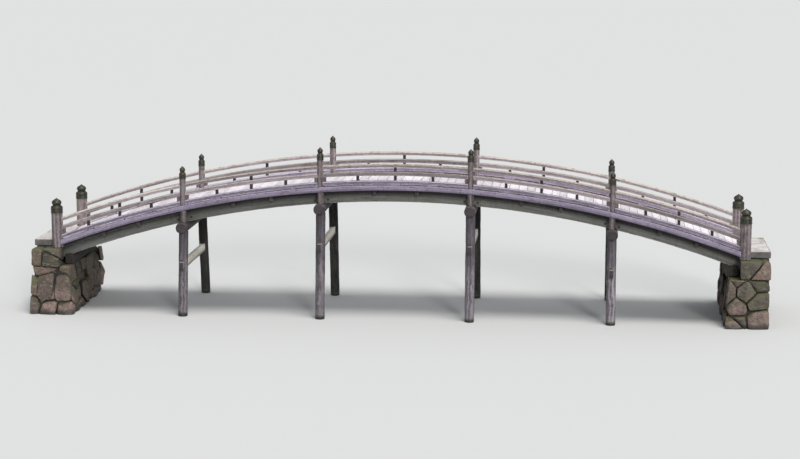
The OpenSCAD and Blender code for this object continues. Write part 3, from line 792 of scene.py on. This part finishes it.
def cap_profile(barrel, height):
    """Rows of (radius, height, wear) from the foot of a post cap to its tip."""
    rows = [(0.9, 0, 0)]
    for low, high, proud in ((0.0, 0.045, 0.06), (0.16, 0.185, 0.035), (0.3, 0.33, 0.05)):
        soft = min(proud, (high - low)) * 0.35
        rows += [(1, low, 0), (1 + proud - soft, low, 0.5), (1 + proud, low + soft * 0.5, 1),
                 (1 + proud, high - soft * 0.5, 1), (1 + proud - soft, high, 0.5),
                 (1, high + 0.001, 0), (1, high + 0.012, 0.3)]
    for k in range(13):
        turn = pi / 2 * k / 12
        rows.append((NECK_R + (1 - NECK_R) * cos(turn),
                     SHOULDER + (NECK - SHOULDER) * sin(turn),
                     0.8 if k < 3 else max(0.5 - k * 0.05, 0)))
    middle = (NECK + COLLAR) / 2
    for turn in np.linspace(-pi / 2, pi / 2, 7):
        rows.append((COLLAR_R - 0.03 + 0.03 * cos(turn),
                     middle + (COLLAR - NECK) / 2 * sin(turn), cos(turn)))
    for t in np.linspace(COLLAR, 1, 41):
        if t < BELLY:
            r = NECK_R + (BELLY_R - NECK_R) * sqrt(
                max(1 - ((BELLY - t) / (BELLY - COLLAR)) ** 2, 0))
        else:
            u = (t - BELLY) / (1 - BELLY)
            r = BELLY_R * max(cos(pi / 2 * u), 0) ** (1 + 0.9 * u)
        # The belly and the tip wear lighter: partly rubbing, partly a painted highlight.
        rows.append((max(r, TIP_R), t,
                     0.3 + 0.45 * exp(-((t - BELLY) / 0.1) ** 2) + 0.4 * (t > 0.97)))
    return [(r * barrel, h * height, w) for r, h, w in rows]


def post_cap(shape, x, y, z, radius, height):
    barrel = radius + CAP_REVEAL
    rows = cap_profile(barrel, height)
    turned(shape, (x, y, z), (0, 0, 1), [row[:2] for row in rows], 56, uniform(0, 6),
           uniform(), wear=[row[2] for row in rows])
    for (row, share), k in product(enumerate(STUD_ROWS), range(STUDS_ROUND)):
        turn = 2 * pi * (k + row * 0.5) / STUDS_ROUND
        out = np.array([cos(turn), sin(turn), 0])
        dome(shape, out * barrel + (x, y, z + share * height), out, 0.055 * barrel,
             0.045 * barrel, 8)


for name, side in SIDES.items():
    bent_posts, end_posts, caps = Shape(), Shape(), Shape()
    line = side * RAIL_LINE
    for x in STATIONS:
        if x in BENTS:
            head = arc_z(x) + POST_HEIGHT
            # Near posts are toned darker and far posts lighter: painted shade and painted light.
            log(bent_posts, cap_top(x), head + 0.01, upright(x, line), POST_RADIUS, 2, 0.0008,
                check_width=0.005, end_cut=0.004,
                tone=0.55 + 0.25 * side + uniform(-0.15, 0.15))
            post_cap(caps, x, line, head, POST_RADIUS, POST_CAP)
        else:
            head = arc_z(x) + END_HEIGHT
            # Near end posts are toned darker and far ones lighter: painted shade and painted
            # light.
            log(end_posts, WALL_TOP, head + 0.01, upright(x, line), END_RADIUS, 3, 0.0012,
                check_width=0.008, end_cut=0.005, sides=48,
                tone=0.65 + 0.2 * side + uniform(-0.1, 0.1))
            post_cap(caps, x, line, head, END_RADIUS, END_CAP)
    bent_posts.piece(f"bent_posts_{name}", POST, "post_timber", [f"posts_{name}"])
    end_posts.piece(f"gate_posts_{name}", POST, "post_timber", [f"end_posts_{name}"])
    caps.piece(f"onion_caps_{name}", BRONZE, "cap_bronze", [f"finials_{name}"])

# Girders, and cross ties with their wedges

# Painted shade on the top of each girder, under the deck's overhang.
OVERHANG_SHADE = (GIRDER_DEPTH / 2 - 0.13, GIRDER_DEPTH / 2 - 0.26)
TIE_SHARES = (0.36, 0.64)
KEY_WIDTH, KEY_THICKNESS, KEY_DOWN, KEY_UP, KEY_TAPER = 0.04, 0.03, 0.085, 0.1, 1.2
for name, y in GIRDER_LINES.items():
    girder = Shape()
    for bay in BAYS:
        bar(girder, STATIONS[bay] + BUTT_GAP / 2, STATIONS[bay + 1] - BUTT_GAP / 2,
            on_arc(y, (GIRDER_BOTTOM + GIRDER_TOP) / 2), GIRDER_WIDTH, GIRDER_DEPTH, 0.009,
            wear=0.007, tone=ramp(*OVERHANG_SHADE))
    girder.piece(f"girder_timbers_{name}", GIRDER, "girder_timber", [f"girder_{name}"])

ties = Shape()
for x in [along(bay, share) for bay in BAYS for share in TIE_SHARES]:
    z = arc_z(x, TIE_LINE)
    lean = asin(x / RADIUS)
    tilted = lambda t, a, b: triples(x + a * cos(lean) + b * sin(lean), t,
                                     z - a * sin(lean) + b * cos(lean))
    reach = GIRDER_FACE + TIE_END
    bar(ties, -reach, reach, tilted, TIE_WIDTH, TIE_HEIGHT, 0.007, step=0.15)
    for side in (-1, 1):
        y = side * (GIRDER_FACE + 0.019)
        key = lambda t, a, b: triples(x + a * (1 + KEY_TAPER * (t - z)), y + b, t)
        bar(ties, z - KEY_DOWN, z + KEY_UP, key, KEY_WIDTH, KEY_THICKNESS, 0.003,
            step=0.06, warp=0)
ties.piece("cross_tie_timbers", BENT, "bent_timber", ["cross_ties"])

# Bents: piles, cap beams, tie beams with the wedges that hold them in the piles, and the
# bolts through the girders. A tie beam is darker along its foot: painted shade.

WEDGE_LENGTH, WEDGE_WIDTH, WEDGE_HEIGHT = 0.09, 0.07, 0.03
BOLT_ALONG, BOLT_UP, BOLT_SIZE = 0.16, 0.09, 0.019
wedges, bolts = Shape(), Shape()
for k, x in enumerate(BENTS):
    top = pile_top(x)
    lean = atan2(PILE_FOOT_OFFSET - PILE_TOP_OFFSET, top)
    for name, side in SIDES.items():
        pile = Shape()
        raking = lambda t, a, b: triples(x + a, side * pile_y(x, t) + b / cos(lean), t)
        log(pile, 0.0, top, raking, PILE_DIAMETER / 2 + 0.001, 4, 0.0045, 0.045, sides=48,
            check_width=0.009, end_cut=0.006)
        pile.piece(f"pile_log_{name}_{k + 1}", PILE_WOOD[name], "pile_logs",
                   [f"pile_{name}_{k + 1}"])
    cap = Shape()
    reach = PILE_TOP_OFFSET + CAP_BEAM_END
    log(cap, -reach, reach, along_y(x, cap_top(x) - CAP_BEAM_HEIGHT / 2), CAP_LOG / 2, 3,
        0.002, 0.06, flat=CAP_BEAM_HEIGHT / 2, sides=48, end_cut=0.018)
    cap.piece(f"cap_log_{k + 1}", BENT, "bent_timber", [f"cap_beam_{k + 1}"])
    tie = Shape()
    tie_top = arc_z(x) - TIE_BEAM_DROP
    tie_middle = tie_top - TIE_BEAM_HEIGHT / 2
    reach = pile_y(x, tie_middle) + TIE_BEAM_END
    # Painted shade along the tie beam's foot.
    bar(tie, -reach, reach, along_y(x, tie_middle), TIE_BEAM_WIDTH, TIE_BEAM_HEIGHT, 0.008,
        step=0.12, wear=0.006, tone=ramp(-0.085, 0.0))
    for side, out in product((-1, 1), (-1, 1)):
        y = side * (pile_y(x, tie_top + 0.015) + out * (PILE_DIAMETER / 2 + 0.012))
        bar(wedges, y - WEDGE_LENGTH / 2, y + WEDGE_LENGTH / 2, along_y(x, tie_top + 0.014),
            WEDGE_WIDTH, WEDGE_HEIGHT, 0.003, step=0.05, warp=0)
    tie.piece(f"tie_timber_{k + 1}", TIE, "tie_timber", [f"tie_beam_{k + 1}"])
    for y, sx, sy in product(GIRDER_LINES.values(), (-1, 1), (-1, 1)):
        bolt_x = x + sx * BOLT_ALONG
        at = (bolt_x, y + sy * GIRDER_WIDTH / 2, arc_z(bolt_x, GIRDER_BOTTOM + BOLT_UP))
        bolt(bolts, at, (0, sy, 0), BOLT_SIZE)
wedges.piece("tie_wedges", BENT, "bent_timber")
bolts.piece("girder_bolts", IRON)

# Sills

sills = Shape()
for end in (-1, 1):
    reach = GIRDER_FACE + SILL_END
    bar(sills, -reach, reach, along_y(end * SILL_X, SHELF_Z + SILL_HEIGHT / 2), SILL_WIDTH,
        SILL_HEIGHT, 0.012, step=0.12, wear=0.008)
sills.piece("sill_beams", SILL, "bent_timber", ["sills"])

# Stonework


def unit_sphere(level):
    made = bmesh.new()
    bmesh.ops.create_icosphere(made, subdivisions=level, radius=1.0)
    points = np.array([v.co[:] for v in made.verts])
    faces = [tuple(v.index for v in f.verts) for f in made.faces]
    made.free()
    return points / norm(points, axis=1)[:, None], faces


BALL, BALL_FACES = unit_sphere(4)
STONE_JOINT, NEIGHBOUR_REACH, LEAST_ROOM = 0.012, 1.1, 0.004
FACETS, DEEPEST_FACET = 4, 0.5


def swollen(centre, normals, bounds, power):
    """A ball round the centre, swollen until it nearly fills the space inside some planes,
    and how close each plane comes to stopping each of its points, from 0 to 1."""
    room = np.maximum(bounds - normals @ centre, LEAST_ROOM)
    facing = np.maximum(BALL @ normals.T, 0) / room
    scale = np.max(facing, axis=1, keepdims=True)
    facing /= scale
    blend = np.sum(facing ** power, axis=1)
    radius = 1 / (scale[:, 0] * blend ** (1 / power))
    return centre + BALL * radius[:, None], facing


def stones(shape, planes, seeds, proud, broken):
    """Stones that fill the space inside planes, one round each seed, each fitted to its
    neighbours. Stones that reach no outer plane are left out. A plane is (normal, distance).
    Proud is how far a stone may stand out or back, and broken the slope of its facets."""
    normals = np.array([n / norm(n) for n, _ in planes])
    reach = np.array([d / norm(n) for n, d in planes])
    level = np.abs(normals[:, 2]) > 0.9
    for seed in seeds:
        gaps = seeds - seed
        far = norm(gaps, axis=1)
        others = (far > 1e-6) & (far < NEIGHBOUR_REACH)
        ways = gaps[others] / far[others][:, None]
        limits = np.sum(ways * seed, axis=1) + far[others] / 2 - STONE_JOINT / 2
        outer = reach + proud * uniform(-1, 1, len(reach)) - proud * 0.3
        facets, cuts = [], []
        power = uniform(9, 26)
        for normal, distance in zip(normals[~level], outer[~level]):
            depth = distance - normal @ seed
            for _ in range(FACETS):
                slope = np.cross(normal, draw.normal(size=3))
                slope *= broken * uniform(0.3, 1.2) / norm(slope)
                facet = (normal + slope) / norm(normal + slope)
                at = seed + normal * (depth - broken * 0.03) + slope / broken * 0.05
                if 0 < depth < DEEPEST_FACET:
                    facets.append(facet)
                    cuts.append(facet @ at)
        every = np.concatenate([ways, normals, np.reshape(facets, (-1, 3))])
        bounds = np.concatenate([limits, outer, cuts])
        centre = seed
        for _ in range(3):
            skin, _ = swollen(centre, every, bounds, power)
            centre = centre + (skin.mean(axis=0) - centre) * 0.8
        skin, facing = swollen(centre, every, bounds, power)
        if not np.any(np.argmax(facing, axis=1) >= len(ways)):
            continue
        offset = uniform(0, 50)
        facing = facing[:, len(ways):]
        outer_share = np.max(facing, axis=1)
        rough = 0.6 * bumps(skin, 5, offset) + 0.45 * np.abs(bumps(skin, 11, offset)) \
            + 0.2 * bumps(skin, 24, offset)
        flat_top = np.max(facing[:, :len(level)][:, level], axis=1)
        amount = 0.012 + 0.1 * broken * np.clip(outer_share - 0.5, 0, 0.5)
        amount *= np.clip(1.5 - 1.3 * flat_top, 0.15, 1)
        skin -= BALL * (amount * (0.5 + rough))[:, None]
        skin[:, 2] = np.maximum(skin[:, 2], 0)
        low = 1 - np.clip((outer_share - 0.72) / 0.25, 0, 1)
        looks = triples(uniform(), low, uniform())
        shape.add((skin, skin + offset, looks), BALL_FACES, [True] * len(BALL_FACES))


def seeds_in(low, high, size, jitter):
    """Jittered seeds in courses, every other one shifted by half a stone."""
    reach = np.subtract(high, low)
    counts = np.maximum(np.round(reach / size), 1).astype(int)
    found = []
    for iz, iy, ix in np.ndindex(*counts[::-1]):
        shift = (0.25 if iz % 2 else -0.25) * (counts > 1) * (1, 1, 0)
        spot = shift + (ix + 0.5, iy + 0.5, iz + 0.5) + uniform(-jitter, jitter, 3)
        if uniform() > jitter * 0.4:
            found.append(low + spot * (reach / counts))
    return np.array(found)


HEAD = RAIL_LINE + END_RADIUS + ABUTMENT_MARGIN
SHELF_EDGE = SILL_X - SILL_WIDTH / 2 - SHELF_FRONT
TOE = SHELF_EDGE - FRONT_BATTER
UP, DOWN = (0, 0, 1.0), (0, 0, -1.0)
TOP_JOINT, FOOT_MARGIN, FILL_DEPTH = 0.004, 0.06, 0.1
BASE_STONE, WALL_STONE, CHEEK_STONE = (0.34, 0.36, 0.27), (0.5, 0.42, 0.24), (0.32, 0.4, 0.22)
for name, end in (("left", -1), ("right", 1)):
    back_plane = ((end, 0, 0), WALL_BACK)
    top_planes = [(UP, WALL_TOP - TOP_JOINT), (DOWN, -SHELF_Z)]
    side_reach = WALL_TOP * (HEAD + SIDE_BATTER)
    flanks = {side: ((0, side * WALL_TOP, SIDE_BATTER), side_reach) for side in (1, -1)}
    # The planes of each mass, two opposite corners of it, the size of its stones, and their
    # jitter, proud and broken. The base comes first, then the wall and the cheeks.
    masses = [
        ([*flanks.values(), ((-end * SHELF_Z, 0, FRONT_BATTER), -TOE * SHELF_Z), back_plane,
          (UP, SHELF_Z - TOP_JOINT), (DOWN, 0.0)],
         (TOE + FOOT_MARGIN, -HEAD - FOOT_MARGIN, 0.0),
         (WALL_BACK, HEAD + FOOT_MARGIN, SHELF_Z), BASE_STONE, 0.42, 0.012, 0.34),
        ([((-end, 0, 0), -WALL_FRONT), back_plane, *top_planes, ((0, 1.0, 0), CHEEK_INNER),
          ((0, -1.0, 0), CHEEK_INNER)],
         (WALL_FRONT, -CHEEK_INNER, SHELF_Z), (WALL_BACK, CHEEK_INNER, WALL_TOP),
         WALL_STONE, 0.2, 0.003, 0.12)]
    for side in (-1, 1):
        masses.append((
            [flanks[side], ((0, -side, 0), -CHEEK_INNER), ((-end, 0, 0), -CHEEK_FRONT),
             back_plane, *top_planes],
            (CHEEK_FRONT, side * CHEEK_INNER, SHELF_Z), (WALL_BACK, side * HEAD, WALL_TOP),
            CHEEK_STONE, 0.24, 0.003, 0.2))
    rubble = Shape()
    for planes, low, high, size, jitter, proud, broken in masses:
        corners = np.sort(np.multiply((low, high), (end, 1, 1)), axis=0)
        stones(rubble, planes, seeds_in(*corners, size, jitter), proud, broken)
    rubble.piece(f"abutment_stones_{name}", ROCK, "abutment_stone", [f"abutment_{name}"])
    fill = Shape()

    def lump(low_x, low_y, high_y, low_z, high_z, lean=0.0, front=0.0):
        """A prism behind the stones. Lean widens its foot across, and front lengthens it."""
        high_x = WALL_BACK - FILL_DEPTH
        base = [(low_x - front, low_z, lean), (low_x, high_z, 0), (high_x, high_z, 0),
                (high_x, low_z, lean)]
        ring = np.array([[(end * x, y + s * wide, z) for x, z, wide in base]
                         for y, s in ((low_y, -1), (high_y, 1))])
        fill.loft(ring, ring, np.full_like(ring, 0.5), fans=False)

    heights = (SHELF_Z - 0.12, WALL_TOP - 0.07)
    lump(SHELF_EDGE + FILL_DEPTH, -HEAD + FILL_DEPTH, HEAD - FILL_DEPTH, 0.0,
         SHELF_Z - 0.09, 0.1, 0.06)
    lump(WALL_FRONT + 0.08, -CHEEK_INNER - FILL_DEPTH, CHEEK_INNER + FILL_DEPTH, *heights)
    for low_y in (-HEAD + FILL_DEPTH, CHEEK_INNER + 0.07):
        lump(CHEEK_FRONT + 0.08, low_y, low_y + HEAD - CHEEK_INNER - 0.17, *heights)
    fill.piece(f"abutment_fill_{name}", FILL, "abutment_stone")

slabs = Shape()
for end in (-1, 1):
    reach = RAIL_LINE - END_RADIUS - STONE_GAP
    middle = end * (HALF + BUTT_GAP + WALL_BACK) / 2
    length = WALL_BACK - HALF - BUTT_GAP
    bar(slabs, -reach, reach, along_y(middle, WALL_TOP + THRESHOLD / 2), length, THRESHOLD,
        0.012, step=0.05, wear=0.008, warp=0)
slabs.piece("threshold_slabs", SLAB, "threshold_stone", ["thresholds"])

# Stage: a pale floor, soft light and the photograph's viewpoint

FLOOR_HALF, FLOOR_COLOUR, FLOOR_ROUGHNESS = 400, (0.46, 0.465, 0.46, 1), 0.95
GROUND_COLOUR, SKY_COLOUR, SKY_STRENGTH = (0.30, 0.32, 0.34, 1), (1.0, 1.04, 1.1, 1), 0.8
EYE, TARGET, LENS, SENSOR = (4.38, -44.52, 9.70), (0.0, 0.0, 1.95), 84, 36
scene.view_settings.view_transform = "Standard"

floor_mesh = bpy.data.meshes.new("floor")
floor_mesh.from_pydata([(x * FLOOR_HALF, y * FLOOR_HALF, 0)
                        for x, y in ((-1, -1), (1, -1), (1, 1), (-1, 1))], [], [(0, 1, 2, 3)])
floor = linked("floor", floor_mesh)
paint = bpy.data.materials.new("floor_paint")
paint.use_nodes = True
shader = paint.node_tree.nodes["Principled BSDF"]
shader.inputs["Base Color"].default_value = FLOOR_COLOUR
shader.inputs["Roughness"].default_value = FLOOR_ROUGHNESS
floor_mesh.materials.append(paint)

world = bpy.data.worlds.new("studio")
world.use_nodes = True
nodes, links = world.node_tree.nodes, world.node_tree.links
sky = nodes["Background"]
heights = nodes.new("ShaderNodeSeparateXYZ")
fade = nodes.new("ShaderNodeValToRGB")
for spot, shade in zip(fade.color_ramp.elements, (GROUND_COLOUR, SKY_COLOUR)):
    spot.color = shade
links.new(nodes.new("ShaderNodeTexCoord").outputs["Generated"], heights.inputs[0])
links.new(heights.outputs[2], fade.inputs[0])
links.new(fade.outputs[0], sky.inputs["Color"])
sky.inputs["Strength"].default_value = SKY_STRENGTH
scene.world = world


def sun(name, towards, energy, spread, tint):
    """A distant lamp that shines from the direction towards."""
    data = bpy.data.lights.new(name, "SUN")
    data.energy = energy
    data.angle = radians(spread)
    data.color = tint
    lamp = linked(name, data)
    lamp.rotation_euler = Vector(towards).to_track_quat("Z", "Y").to_euler()


sun("overhead", (0.2, -0.2, 1.0), 2.7, 24, (1.0, 0.98, 0.95))
sun("front", (0.4, -1.0, 0.42), 1.45, 12, (1.0, 0.97, 0.94))

eye = bpy.data.cameras.new("camera")
eye.lens = LENS
eye.sensor_width = SENSOR
eye.clip_end = 2000
camera = linked("camera", eye)
camera.location = EYE
camera.rotation_euler = (Vector(TARGET) - Vector(EYE)).to_track_quat("-Z", "Y").to_euler()
scene.camera = camera
